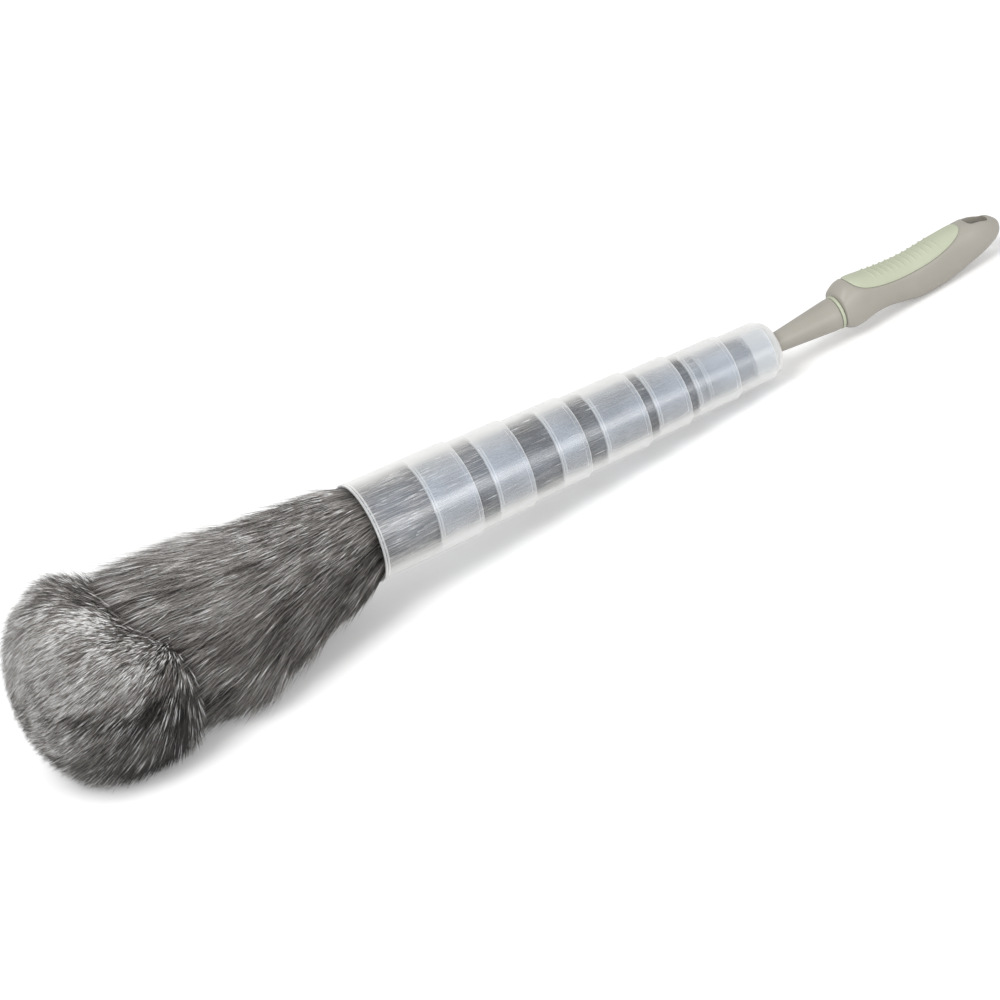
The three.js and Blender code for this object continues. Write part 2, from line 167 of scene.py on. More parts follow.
def carved(piece, cutter, operation):
    """The piece with a cutter taken from it or shared with it, and near points along the cut merged,
    so that the next cut finds a closed shape."""
    cut = piece.modifiers.new("cut", "BOOLEAN")
    cut.solver = "EXACT"
    cut.operation = operation
    cut.object = cutter
    made_plain(piece)
    bpy.data.objects.remove(cutter)
    work = bmesh.new()
    work.from_mesh(piece.data)
    bmesh.ops.remove_doubles(work, verts=work.verts, dist=NEAR_POINTS)
    bmesh.ops.dissolve_degenerate(work, edges=work.edges, dist=NEAR_POINTS)
    between_two = [point for point in work.verts if len(point.link_edges) == 2]
    bmesh.ops.dissolve_verts(work, verts=between_two)
    work.to_mesh(piece.data)
    work.free()
    piece.data.set_sharp_from_angle(angle=SHARP_EDGE)


def finished(piece, body, nodes, materials=()):
    """Gives a piece its finish, its body and the nodes that it stands for."""
    for material in materials:
        piece.data.materials.append(material)
    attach(piece, body)
    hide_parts(*nodes)


# Materials


def linear(hex_colour):
    """An sRGB hex colour as the linear values that shaders take."""
    values = [int(hex_colour[i : i + 2], 16) / 255 for i in (1, 3, 5)]
    return tuple(v / 12.92 if v <= 0.04045 else ((v + 0.055) / 1.055) ** 2.4 for v in values) + (1.0,)


def add_node(tree, kind, links=None, **settings):
    """Adds a node with its settings, and feeds its inputs from nodes, sockets or plain values."""
    node = tree.nodes.new(kind)
    for name, value in settings.items():
        setattr(node, name, value)
    for socket, source in (links or {}).items():
        if isinstance(source, bpy.types.Node):
            source = next(output for output in source.outputs if output.enabled)
        if isinstance(source, bpy.types.NodeSocket):
            tree.links.new(source, node.inputs[socket])
        else:
            node.inputs[socket].default_value = source
    return node


def add_maths(tree, operation, *values, **settings):
    return add_node(tree, "ShaderNodeMath", dict(enumerate(values)), operation=operation, **settings)


def add_vectors(tree, operation, *values):
    return add_node(tree, "ShaderNodeVectorMath", dict(enumerate(values)), operation=operation)


def add_scaled(tree, vector, factor):
    return add_node(tree, "ShaderNodeVectorMath", {0: vector, "Scale": factor}, operation="SCALE")


def add_range(tree, value, start, end, first=0.0, last=1.0, **settings):
    """Adds a node that goes from first to last as the value goes from start to end."""
    limits = {0: value, 1: start, 2: end, 3: first, 4: last}
    return add_node(tree, "ShaderNodeMapRange", limits, **settings)


def add_noise(tree, place, size, detail):
    """Adds a noise with features of about that size."""
    return add_node(tree, "ShaderNodeTexNoise", {"Vector": place, "Scale": 1 / size, "Detail": detail})


def add_bump(tree, height, distance, strength):
    return add_node(
        tree, "ShaderNodeBump", {"Height": height, "Distance": distance, "Strength": strength}
    )


def add_mix(tree, factor, first, second, **settings):
    """Adds a mix of two colours."""
    links = {"Factor": factor, 6: first, 7: second}
    return add_node(tree, "ShaderNodeMix", links, data_type="RGBA", **settings).outputs[2]


def add_surface(tree, inputs):
    """Ends a material with a plain surface."""
    surface = add_node(tree, "ShaderNodeBsdfPrincipled", inputs)
    add_node(tree, "ShaderNodeOutputMaterial", {"Surface": surface})


def add_ramp(tree, place, stops):
    """Adds a colour ramp with (place, hex colour) stops."""
    node = add_node(tree, "ShaderNodeValToRGB", {"Fac": place})
    elements = node.color_ramp.elements
    while len(elements) < len(stops):
        elements.new(0.5)
    for element, (stop, hex_colour) in zip(elements, stops):
        element.position = stop
        element.color = linear(hex_colour)
    return node


def new_material(name):
    material = bpy.data.materials.new(name)
    material.use_nodes = True
    material.node_tree.nodes.clear()
    return material, material.node_tree


PLASTIC_IOR = 1.49
FIBRE_IOR = 1.55
PACKED_IOR = 1.5
DRIFT_SIZE = 30 * MM
CLOUD_SIZE = 24 * MM
FROST_GRAIN = 0.9 * MM
FROST_HEIGHT = 0.02 * MM
FROST_ROUGHNESS = 0.31
# The share of what lies behind that a wall hides where it is seen edge on
EDGE_ON_VEIL = 0.92
STREAK_LENGTH = 30 * MM
STREAK_WIDTH = 1.2 * MM
STREAK_HEIGHT = 0.4 * MM
ZINC_MARK_SIZE = 1.5 * MM
# Painted glints: the tone above which a strand is painted as a glint, between which shares of its
# length the painted glint comes and goes, and how much darker the strand is painted beyond it
BRIGHTEST_TONE = 0.97
GLINT_COMES = (0.5, 0.6)
GLINT_GOES = (0.8, 0.92)
GLINT_CONTRAST = 0.45
# Painted shade towards the root: how light a strand is painted at its root, and the share of its
# length from which it has its full tone
ROOT_SHADE_LEVEL = 0.35
UNSHADED_FROM = 0.7


def moulded(name, base, worn, roughness, grain_mm, grain_height_mm, specular):
    """A moulded plastic: a faint drift of colour over some 30 mm, and a fine spark-eroded grain."""
    material, tree = new_material(name)
    place = add_node(tree, "ShaderNodeTexCoord").outputs["Object"]
    drift = add_noise(tree, place, DRIFT_SIZE, 3)
    grain = add_noise(tree, place, grain_mm * MM, 2)
    add_surface(
        tree,
        {
            "Base Color": add_ramp(tree, drift, ((0.3, worn), (0.7, base))),
            "Roughness": add_range(tree, grain, 0, 1, roughness - 0.05, roughness + 0.05),
            "Normal": add_bump(tree, grain, grain_height_mm * MM, 0.6),
            "IOR": PLASTIC_IOR,
            "Specular IOR Level": specular,
        },
    )
    return material


def frosted(name, face_on, edge_on, clearest, milkiest):
    """Frosted polypropylene: a milky wall with a waxy gloss. The walls are thin, so each face of a
    wall hides a share of what lies behind it: a little more in clouds where the pile stands off the
    wall, and more the more the wall is seen edge on."""
    material, tree = new_material(name)
    place = add_node(tree, "ShaderNodeTexCoord").outputs["Object"]
    haze = add_noise(tree, place, CLOUD_SIZE, 1)
    cloud = add_range(tree, haze, 0.2, 0.8, clearest, milkiest, interpolation_type="SMOOTHSTEP")
    facing = add_node(tree, "ShaderNodeLayerWeight", {"Blend": 0.5}).outputs["Facing"]
    slant = add_range(tree, facing, 0.25, 1.0, interpolation_type="SMOOTHSTEP")
    veil = add_range(tree, slant, 0, 1, cloud, EDGE_ON_VEIL)
    paling = add_range(tree, facing, 0.05, 0.45)
    tint = add_mix(tree, paling, linear(face_on), linear(edge_on))
    grain = add_noise(tree, place, FROST_GRAIN, 2)
    gloss = add_range(tree, grain, 0, 1, FROST_ROUGHNESS - 0.03, FROST_ROUGHNESS + 0.03)
    frost = add_bump(tree, grain, FROST_HEIGHT, 0.25)
    milk = add_node(
        tree,
        "ShaderNodeBsdfPrincipled",
        {"Base Color": tint, "Roughness": gloss, "Normal": frost, "IOR": PLASTIC_IOR},
    )
    clear = add_node(tree, "ShaderNodeBsdfTransparent")
    wall = add_node(tree, "ShaderNodeMixShader", {0: veil, 1: clear, 2: milk})
    glancing = add_maths(tree, "POWER", facing, 5.0)
    mirrored = add_range(tree, glancing, 0, 1, 0.045, 0.2)
    mirror = add_node(tree, "ShaderNodeBsdfGlossy", {"Roughness": gloss, "Normal": frost})
    surface = add_node(tree, "ShaderNodeMixShader", {0: mirrored, 1: wall, 2: mirror})
    add_node(tree, "ShaderNodeOutputMaterial", {"Surface": surface})
    return material


def grey_fibre():
    """Fine acrylic fibres: greys that differ from strand to strand, with painted shade darkening
    each strand towards its root. The glints are painted: the brightest strands are white over a
    short stretch of their length and darker beyond it."""
    material, tree = new_material("drawn_acrylic_fibre")
    tone = add_node(tree, "ShaderNodeAttribute", attribute_name="tone").outputs["Fac"]
    along = add_node(tree, "ShaderNodeAttribute", attribute_name="along").outputs["Fac"]
    # Painted glint: the brightest strands are white only between GLINT_COMES and GLINT_GOES along them,
    # darker elsewhere
    brightest = add_maths(tree, "GREATER_THAN", tone, BRIGHTEST_TONE)
    glint_start = add_range(tree, along, *GLINT_COMES)
    glint_end = add_range(tree, along, *GLINT_GOES, 1.0, 0.0)
    painted_glint = add_maths(tree, "MULTIPLY", glint_start, glint_end)
    no_glint = add_maths(tree, "SUBTRACT", 1.0, painted_glint)
    dulled = add_maths(tree, "MULTIPLY", brightest, no_glint)
    shown = add_maths(tree, "MULTIPLY_ADD", dulled, -GLINT_CONTRAST, tone)
    greys = add_ramp(
        tree,
        shown,
        ((0.0, "#2C2A28"), (0.3, "#696561"), (0.6, "#A39E99"), (0.85, "#DFDAD6"), (1.0, "#FFFFFF")),
    )
    # Painted shade: each strand is darker towards its root, where it lies deep in the pile
    depth = add_range(tree, along, 0.0, UNSHADED_FROM, ROOT_SHADE_LEVEL, 1.0)
    colour = add_mix(tree, 1.0, greys, depth, blend_type="MULTIPLY")
    add_surface(tree, {"Base Color": colour, "Roughness": 0.2, "IOR": FIBRE_IOR})
    return material


def shaded_under_fibre():
    """The packed fibre below the combed surface, painted dark for the shade deep in the pile, and
    streaked along the tool's axis.
    """
    material, tree = new_material("packed_acrylic_fibre_painted_shade")
    place = add_node(tree, "ShaderNodeTexCoord").outputs["Object"]
    stretch = (1 / STREAK_LENGTH, 1 / STREAK_WIDTH, 1 / STREAK_WIDTH)
    laid = add_node(
        tree,
        "ShaderNodeMapping",
        {"Vector": place, "Rotation": (0.0, -TOOL_TILT, 0.0), "Scale": stretch},
    )
    streak = add_noise(tree, laid, 1.0, 4)
    # Painted shade: greys darker than the combed fibres', for the shade deep in the pile
    greys = add_ramp(tree, streak, ((0.3, "#35332F"), (0.55, "#55524D"), (0.75, "#7B7872")))
    ridge = add_bump(tree, streak, STREAK_HEIGHT, 0.8)
    add_surface(tree, {"Base Color": greys, "Roughness": 0.6, "Normal": ridge, "IOR": PACKED_IOR})
    return material


def galvanised_wire():
    """Drawn and galvanised steel wire: bright zinc, a little mottled."""
    material, tree = new_material("galvanised_steel_wire")
    place = add_node(tree, "ShaderNodeTexCoord").outputs["Object"]
    marks = add_noise(tree, place, ZINC_MARK_SIZE, 3)
    zinc = add_ramp(tree, marks, ((0.35, "#84868A"), (0.65, "#B4B6B8")))
    add_surface(tree, {"Base Color": zinc, "Metallic": 1.0, "Roughness": 0.38})
    return material


CLEAR_WALL = frosted(
    "frosted_polypropylene", "#CDDDF2", "#FCFCFA", clearest=0.045, milkiest=0.105
)
LAPPED_WALL = frosted(
    "frosted_polypropylene_rubbed", "#D2DEEE", "#FCFCFA", clearest=0.14, milkiest=0.25
)
RIM_WALL = frosted(
    "frosted_polypropylene_rim", "#F3F5F8", "#FCFCFB", clearest=0.4, milkiest=0.5
)
END_WALL = frosted(
    "frosted_polypropylene_thick", "#D6D9DA", "#F4F4F3", clearest=0.60, milkiest=0.66
)
TAUPE = moulded(
    "moulded_taupe_polypropylene",
    "#A5A198",
    "#9E9A91",
    roughness=0.44,
    grain_mm=0.5,
    grain_height_mm=0.02,
    specular=0.45,
)
MINT = moulded(
    "moulded_mint_elastomer",
    "#BEC3AE",
    "#B8BDA6",
    roughness=0.62,
    grain_mm=0.6,
    grain_height_mm=0.03,
    specular=0.35,
)
NYLON = moulded(
    "moulded_black_nylon",
    "#3B3B3A",
    "#333332",
    roughness=0.55,
    grain_mm=0.5,
    grain_height_mm=0.02,
    specular=0.4,
)
WIRE = galvanised_wire()
FIBRE = grey_fibre()
SHADED_UNDER_FIBRE = shaded_under_fibre()

# Camera: it looks down on the tool from the fibre head's near side, rolled a little.

CAMERA_PLACE = Vector((-0.8226, -2.4815, 1.3804))
CAMERA_RIGHT = Vector((0.8326, -0.4455, -0.3294))
CAMERA_UP = Vector((0.4839, 0.2952, 0.8239))

camera = bpy.data.objects.new("camera", bpy.data.cameras.new("camera"))
bpy.context.scene.collection.objects.link(camera)
camera.data.sensor_width = 36
camera.data.lens = 158.4
camera.data.clip_end = 20
facing = CAMERA_RIGHT.cross(CAMERA_UP).normalized()
right = CAMERA_UP.cross(facing).normalized()
camera.matrix_world = Matrix.Translation(CAMERA_PLACE) @ Matrix(
    (right, facing.cross(right), facing)
).transposed().to_4x4()
bpy.context.scene.camera = camera

# Sleeve: eight nested conical sections. Each has a two-ribbed rim at its mouth and a small inward
# lip at its other end, and the smallest closes with a rounded shoulder and a collar.

WALL = 0.9
TAPER = 0.011
MOUTH_RADIUS = 34.4
RADIUS_STEP = 2.15
BEAD_HEIGHT = 0.4
LIP_HEIGHT = 0.4
LIP_WIDTH = 2.5
SHOULDER_RADIUS = 6
COLLAR_RADIUS = 9.6
SECTION_STARTS = (0, 43.2, 89.45, 139.45, 174.8, 216.9, 249.65, 259.45)
SECTION_LENGTHS = (75.5, 73.55, 71.6, 69.65, 67.7, 65.75, 63.8, 61.85)
SLEEVE_END = SECTION_STARTS[-1] + SECTION_LENGTHS[-1]
SLEEVE_SIDES = 144
# How far the pile stops short of the sleeve's end
BARE_LENGTH = 23
PILE_END = SLEEVE_END - BARE_LENGTH
RIM_WIDTH = 3.4
WALL_EASE = 0.22
# The finishes of a wall, and the ends of the stretches that have the rim's: two ribs and the lip
CLEAR, LAPPED, RIM, END = range(4)
FIRST_RIB_END = 1.3
SECOND_RIB = (2.0, 3.1)
LIP_EDGE = 1.2


def outer_radius(section, along):
    return MOUTH_RADIUS - section * RADIUS_STEP - TAPER * along


def inner_radius(section, along):
    return outer_radius(section, along) - WALL


def rim_profile(k):
    """The mouth's two ribs, from the inside out."""
    proud = outer_radius(k, 0) + BEAD_HEIGHT
    return [
        (0, inner_radius(k, 0)),
        (0, proud),
        (1.2, proud),
        (1.5, proud - 0.3),
        (1.8, proud - 0.3),
        (2.1, proud),
        (3.0, proud),
        (RIM_WIDTH, outer_radius(k, RIM_WIDTH)),
    ]


def open_profile(k):
    end = SECTION_LENGTHS[k]
    lapped = SECTION_STARTS[k + 1] - SECTION_STARTS[k]
    lip = end - LIP_WIDTH
    return rim_profile(k) + [
        (lapped, outer_radius(k, lapped)),
        (end - 3, outer_radius(k, end - 3)),
        (end, outer_radius(k, end)),
        (end, inner_radius(k, end) - LIP_HEIGHT),
        (lip, inner_radius(k, lip) - LIP_HEIGHT),
        (lip - LIP_HEIGHT, inner_radius(k, lip - LIP_HEIGHT)),
        (lapped, inner_radius(k, lapped)),
        (RIM_WIDTH, inner_radius(k, RIM_WIDTH)),
    ]


def collar_profile(k):
    end = SECTION_LENGTHS[k]
    arc_start = end - SHOULDER_RADIUS
    arc_centre = outer_radius(k, arc_start) - SHOULDER_RADIUS
    angles = np.linspace(0, math.pi / 2, 9)

    def arc(radius):
        return [(arc_start + radius * math.sin(a), arc_centre + radius * math.cos(a)) for a in angles]

    bare = PILE_END - SECTION_STARTS[k]
    collar = [(end, COLLAR_RADIUS), (end - WALL, COLLAR_RADIUS)]
    outside = rim_profile(k) + [(bare, outer_radius(k, bare))] + arc(SHOULDER_RADIUS)
    inside = [(bare, inner_radius(k, bare)), (RIM_WIDTH, inner_radius(k, RIM_WIDTH))]
    return outside + collar + arc(SHOULDER_RADIUS - WALL)[::-1] + inside


for k, (start, length) in enumerate(zip(SECTION_STARTS, SECTION_LENGTHS)):
    last = k == len(SECTION_STARTS) - 1
    profile = rounded(collar_profile(k) if last else open_profile(k), WALL_EASE)
    placed = profile + np.array([start, 0])
    wall = revolved(f"frosted_section_{k + 1}", placed, SLEEVE_SIDES, from_tool)
    middle = (profile[:, 0] + np.roll(profile[:, 0], -1)) / 2
    lap_start = length if last else SECTION_STARTS[k + 1] - start
    finish = np.where(middle > lap_start, LAPPED, CLEAR)
    in_second_rib = (middle > SECOND_RIB[0]) & (middle < SECOND_RIB[1])
    finish[(middle < FIRST_RIB_END) | in_second_rib | (middle > length - LIP_EDGE)] = RIM
    if last:
        finish[middle > PILE_END - start] = END
    finished(
        wall,
        f"section_{k + 1}",
        (f"sleeve_section_{k + 1}",),
        (CLEAR_WALL, LAPPED_WALL, RIM_WALL, END_WALL),
    )
    finishes = np.repeat(finish, SLEEVE_SIDES).astype(np.int32)
    wall.data.polygons.foreach_set("material_index", finishes)

# Neck and ring: turned mouldings

NECK_PROFILE = (
    (-4, 0.2),
    (-4, 5),
    (16, 6.8),
    (63.2, 11.5),
    (66.8, 11.5),
    (66.8, 7),
    (93.8, 7),
    (93.8, 0.2),
)
RING_PROFILE = ((67.1, 7.3), (67.1, 12), (69.5, 12), (69.5, 7.3))
NECK_SIDES = 128
TURNED_EASE = 0.8
TURNED_STEPS = 7

neck_line = rounded(NECK_PROFILE, TURNED_EASE, TURNED_STEPS)
neck = revolved("tapered_neck", neck_line, NECK_SIDES, from_neck)
finished(neck, "handle", ("neck",), (TAUPE,))
ring_line = rounded(RING_PROFILE, TURNED_EASE, TURNED_STEPS)
ring = revolved("soft_ring", ring_line, NECK_SIDES, from_neck)
finished(ring, "handle", ("neck_ring",), (MINT,))

# Handle and pad: one squarish loft, cut along an ellipse in side view. The loft sinks a little at
# the cut and at the slot, which rounds those edges.

HANDLE_START = 69.8
HANDLE_LENGTH = 135.3
HANDLE_SIDES = 144
# Share of the length, then the top and bottom over the neck's axis and half the width
HANDLE_OUTLINE = (
    (0, 18.2, -14.6, 14),
    (0.11, 20, -14, 13.9),
    (0.18, 18.9, -12, 13.4),
    (0.27, 17.3, -11.9, 13),
    (0.36, 16.5, -14.3, 12.9),
    (0.445, 16.3, -16.6, 13),
    (0.535, 17.2, -16.5, 13.1),
    (0.64, 18.5, -14.9, 12.9),
    (0.755, 19.2, -11.4, 12.4),
    (0.855, 19, -8.3, 12),
    (1, 17, -6.2, 11.2),
)
PAD_MIDDLE = 128.6
PAD_HEIGHT = 24
PAD_HALF_LENGTH = 48.5
PAD_DEPTH = 17
PAD_RISE = 0.035
PAD_GAP = 0.3
EDGE_EASE = 1.1
EDGE_DROP = 0.5
SLOT_EASE = 2.2
SLOT_DROP = 1.1
RIDGES = 12
RIDGE_START = 97.8
RIDGE_SPACING = 4.7
RIDGE_WIDTH = 2.0
RIDGE_REACH = 9.3
RIDGE_HEIGHT = 0.65
SLOT_START = 180.3
SLOT_END = 196.3
SLOT_WIDTH = 12.5
SLOT_CORNER = 3.5
# An easing this much longer than a corner's radius comes near to its round
CORNER_EASE = 1.2
SQUARENESS = 2.6
FRONT_EDGE = 1.3
FRONT_SLOPE = 6.5
REAR_ROUND = 27
LEAST_SCALE = 1e-3
RIDGE_BOW = 0.02
CUTTER_SIDES = 240
PAD_CUTTER_REACH = 30
SLOT_CUTTER_REACH = 60


def handle_rings(shares, swell):
    """Rings of the handle's loft, with its surface moved out by swell(x, y, z)."""
    top, bottom, half = (row[:, None] for row in smooth_curve(HANDLE_OUTLINE)(shares))
    from_front = (shares * HANDLE_LENGTH)[:, None]
    front_width = quarter_round(from_front / FRONT_EDGE, 0.95, 2)
    front_height = quarter_round(from_front / FRONT_SLOPE, 0.76, 1.25)
    rear = quarter_round((HANDLE_LENGTH - from_front) / REAR_ROUND, 0, 2.2)
    angle = 2 * math.pi * np.arange(HANDLE_SIDES) / HANDLE_SIDES
    y, z = np.sin(angle), np.cos(angle)
    reach = (abs(y) ** SQUARENESS + abs(z) ** SQUARENESS) ** (1 / SQUARENESS)
    y, z = y / reach, z / reach
    x = HANDLE_START + from_front + 0 * y
    y = y * np.maximum(front_width * rear, LEAST_SCALE)
    z = z * np.maximum(front_height * rear, LEAST_SCALE)
    middle, tall = (top + bottom) / 2, (top - bottom) / 2
    moved = swell(x, y * half, z * tall + middle)
    return np.stack([x, y * (half + moved), z * (tall + moved) + middle], axis=-1)


def pad_edge(x, z):
    """How far a point stands inside the pad's edge, in side view, in about millimetres."""
    ahead = x - PAD_MIDDLE
    above = z - PAD_HEIGHT - PAD_RISE * ahead
    around = np.hypot(ahead / PAD_HALF_LENGTH, above / PAD_DEPTH)
    slope = np.hypot(ahead / PAD_HALF_LENGTH**2, above / PAD_DEPTH**2)
    return (1 - around) * around / np.maximum(slope, 1e-6)


def slot_edge(x, y):
    """How far a point stands outside the hang slot, seen from above."""
    inside_x = abs(x - (SLOT_START + SLOT_END) / 2) - (SLOT_END - SLOT_START) / 2 + SLOT_CORNER
    inside_y = abs(y) - SLOT_WIDTH / 2 + SLOT_CORNER
    return np.hypot(np.maximum(inside_x, 0), np.maximum(inside_y, 0)) - SLOT_CORNER


def body_swell(x, y, z):
    at_pad = 1 - smoothstep(0, EDGE_EASE, -pad_edge(x, z))
    at_slot = 1 - smoothstep(0, SLOT_EASE, slot_edge(x, y))
    return -np.maximum(EDGE_DROP * at_pad, SLOT_DROP * at_slot)


def pad_swell(x, y, z):
    at_edge = 1 - smoothstep(0, EDGE_EASE, pad_edge(x, z))
    places = RIDGE_START + RIDGE_SPACING * np.arange(RIDGES)
    nearest = np.abs(x[..., None] - RIDGE_BOW * y[..., None] ** 2 - places).min(axis=-1)
    ridge = 1 - smoothstep(0, RIDGE_WIDTH / 2, nearest)
    fade = 1 - smoothstep(RIDGE_REACH - 2, RIDGE_REACH + 1.5, abs(y))
    return RIDGE_HEIGHT * ridge * fade * (z > 0) - EDGE_DROP * at_edge


def pad_cutter(gap):
    """A bar with the pad's ellipse for its section, right across the handle."""
    angle = 2 * math.pi * np.arange(CUTTER_SIDES) / CUTTER_SIDES
    x = PAD_MIDDLE + (PAD_HALF_LENGTH + gap) * np.cos(angle)
    z = PAD_HEIGHT + PAD_RISE * (x - PAD_MIDDLE) + (PAD_DEPTH + gap) * np.sin(angle)
    ends = (-PAD_CUTTER_REACH, PAD_CUTTER_REACH)
    rings = np.stack([np.stack([x, 0 * x + y, z], axis=-1) for y in ends])
    return shell("pad_cutter", from_neck(rings))


def slot_cutter():
    """An upright bar with rounded corners."""
    half_x, half_y = (SLOT_END - SLOT_START) / 2, SLOT_WIDTH / 2
    corners = ((-half_x, -half_y), (half_x, -half_y), (half_x, half_y), (-half_x, half_y))
    outline = rounded(corners, SLOT_CORNER * CORNER_EASE, 12)
    x = outline[:, 0] + (SLOT_START + SLOT_END) / 2
    ends = (-SLOT_CUTTER_REACH, SLOT_CUTTER_REACH)
    rings = np.stack([np.stack([x, outline[:, 1], 0 * x + z], axis=-1) for z in ends])
    return shell("slot_cutter", from_neck(rings))


even = np.linspace(0, 1, 300)
crowded = 0.5 - 0.5 * np.cos(math.pi * np.linspace(0, 1, 90))
handle_shares = np.unique(np.round(np.concatenate([even, crowded]), 5))
handle = shell("handle_moulding", from_neck(handle_rings(handle_shares, body_swell)))
carved(handle, pad_cutter(PAD_GAP), "DIFFERENCE")
carved(handle, slot_cutter(), "DIFFERENCE")
finished(handle, "handle", ("handle_body",), (TAUPE,))

pad = shell("ridged_pad", from_neck(handle_rings(handle_shares, pad_swell)))
carved(pad, pad_cutter(0), "INTERSECT")
finished(pad, "handle", ("grip_pad",), (MINT,))

# Core: the wires and the tip cap keep their shapes from the frame.

for node, material in (("core_wire_a", WIRE), ("core_wire_b", WIRE), ("tip_cap", NYLON)):
    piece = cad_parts[node]
    piece.data.materials.clear()
    piece.data.materials.append(material)

# Fibre head: the pile's outline gives how far ahead of the mouth, how far the surface stands beyond
# the inside of the mouth, and how far its middle hangs below the wire.

PILE_OUTLINE = (
    (0, -0.4, 0),
    (17, 6.2, 2.3),
    (34, 11.7, 4.5),
    (54, 17.8, 8),
    (68, 21, 10),
    (97, 27.5, 14),
    (125, 28.1, 13.6),
    (150, 29, 15),
    (174, 33.5, 15),
    (192, 36.7, 14),
    (205, 34.5, 14.5),
    (225, 30, 14),
    (251, 29, 15),
)
FLARE_END = 158
TIP_END = 251
# Round the pile from the top, in degrees, and how far ahead the waist lies there
WAIST_LEANS = (
    (-152, -1),
    (-115, -6),
    (-85, -5),
    (-65, 0),
    (-50, 11),
    (-30, 17),
    (0, 18),
    (28, 14),
    (60, 10),
    (120, 4),
)
LEAN_START = 60
LEAN_END = TIP_END - 10
# How far the fibres stand above the surface that they grow from
FLARE_NAP = 7
BULB_NAP = 3
MOUTH_GAP = 0.9
DEPTH_REACHED = 60
FLARE_OPENED = 70
FLARE_FIBRES_END = FLARE_END - 28
BULB_FIBRES_END = TIP_END - 11
# The waist's and the tip's size as a share of the pile, and the lengths over which they round off
WAIST_SHARE = 0.72
TIP_SHARE = 0.06
FLARE_ROUND = 16
WAIST_ROUND = 22
TIP_ROUND = 34
HIGH_SIDE = math.radians(28)
NEAR_SIDE = math.radians(-68)
PARTING_OUT = 12
PARTING_BACK = 22
PILE_SIDES = 144
PILE_ANGLES = 2 * math.pi * np.arange(PILE_SIDES) / PILE_SIDES
LOCK_ROWS = 50
LOCK_ROWS_BEHIND = 20
FIBRE_TONES = 40
FIBRES_A_PIECE = 15000
LAYER_INPUTS = ("Thickness", "Stray", "Sway", "Tuft size", "Tufting", "Tone spread", "Glints")
# What the fibres and their surface carry, and the part of it that the finish reads
FIBRE_DATA = {
    **dict.fromkeys(("lay", "bend", "lift", "root", "pull", "side"), "FLOAT_VECTOR"),
    **dict.fromkeys(("reach", "shade", "girth", "along", "tone"), "FLOAT"),
}
SHADER_DATA = ("along", "tone")
SWIRL_SIZE = 22 * MM
PATCH_SIZE = 12 * MM
LENGTH_CHANCES = (0.68, 1.12)
GIRTH_CHANCES = (0.6, 1.3)
LENGTH_SEED, GIRTH_SEED, TONE_SEED, GLINT_SEED = 0, 11, 23, 37
PATCH_WEIGHT = 0.8
# Painted glints cluster over shiny patches and where the shade, with its painted light, is lighter, and
# are drawn thicker
SHINY_PATCHES = (0.45, 0.65)
LIT_SHADES = (0.3, 0.65)
LIT_SHARES = (0.4, 1.5)
GLINT_GIRTH = 1.4
# The share of a fibre's length at which its tuft's middle is looked for
TUFT_PLACE = 0.75
# Lowest place of a fibre's points: free along X and Y, just over the floor in Z
LOWEST_PLACE = (-9, -9, 0.3 * MM)
# How far a fibre's sides spread on its map, in columns of tone
MAP_SPREAD = (0.35, 0.2)

pile_at = smooth_curve(PILE_OUTLINE)
lean_angles, lean_sizes = np.array(WAIST_LEANS, float).T
waist_lean = np.interp(np.degrees(PILE_ANGLES), lean_angles, lean_sizes, period=360)
overlapped = np.clip(waist_lean / waist_lean.max(), 0, 1)


def pile_rings(aheads, radius, drop):
    """Rings round the wire, from how far ahead of the mouth each one is. Those near the waist lean
    with it."""
    aheads, radius, drop = (np.asarray(v, float)[:, None] for v in (aheads, radius, drop))
    after_waist = smoothstep(FLARE_END, LEAN_END, aheads)
    lean = waist_lean * smoothstep(LEAN_START, FLARE_END, aheads) * (1 - after_waist)
    x = -aheads - lean
    return np.stack([x, radius * np.sin(PILE_ANGLES), radius * np.cos(PILE_ANGLES) - drop], axis=-1)


def flare_radius(aheads, depth):
    spread, drop = pile_at(aheads)
    rooted_at = depth * smoothstep(0, DEPTH_REACHED, aheads)
    nap = FLARE_NAP * np.clip(aheads / FLARE_OPENED, 0, 1)
    return inner_radius(0, 0) + spread - (rooted_at + nap + MOUTH_GAP), drop


def bulb_radius(aheads, depth):
    spread, drop = pile_at(aheads)
    waist = quarter_round((aheads - FLARE_END) / WAIST_ROUND, WAIST_SHARE, 2)
    tip = quarter_round((TIP_END - depth - aheads) / TIP_ROUND, TIP_SHARE, 2)
    return (inner_radius(0, 0) + spread - depth - BULB_NAP) * waist * tip, drop


def covered_radius(places, depth):
    """The pile's radius inside the sleeve: one even taper that clears the mouth of each section."""
    mouths = [inner_radius(k, 0) for k in range(len(SECTION_STARTS))]
    starts = list(SECTION_STARTS) + [PILE_END]
    ends = mouths + [inner_radius(len(mouths) - 1, PILE_END - SECTION_STARTS[-1])]
    return np.interp(places, starts, ends) - depth


def directions(rings):
    """At each point of a set of rings: along towards the tip, round the pile, and out of it."""
    along = np.gradient(rings, axis=0)
    around = np.roll(rings, -1, axis=1) - np.roll(rings, 1, axis=1)
    along /= np.linalg.norm(along, axis=-1, keepdims=True)
    around /= np.linalg.norm(around, axis=-1, keepdims=True) + 1e-9
    out = np.cross(along, around)
    middle = rings.mean(axis=1, keepdims=True)
    facing_out = np.sign(np.sum(out * (rings - middle), axis=-1).sum())
    return along, around, out * facing_out


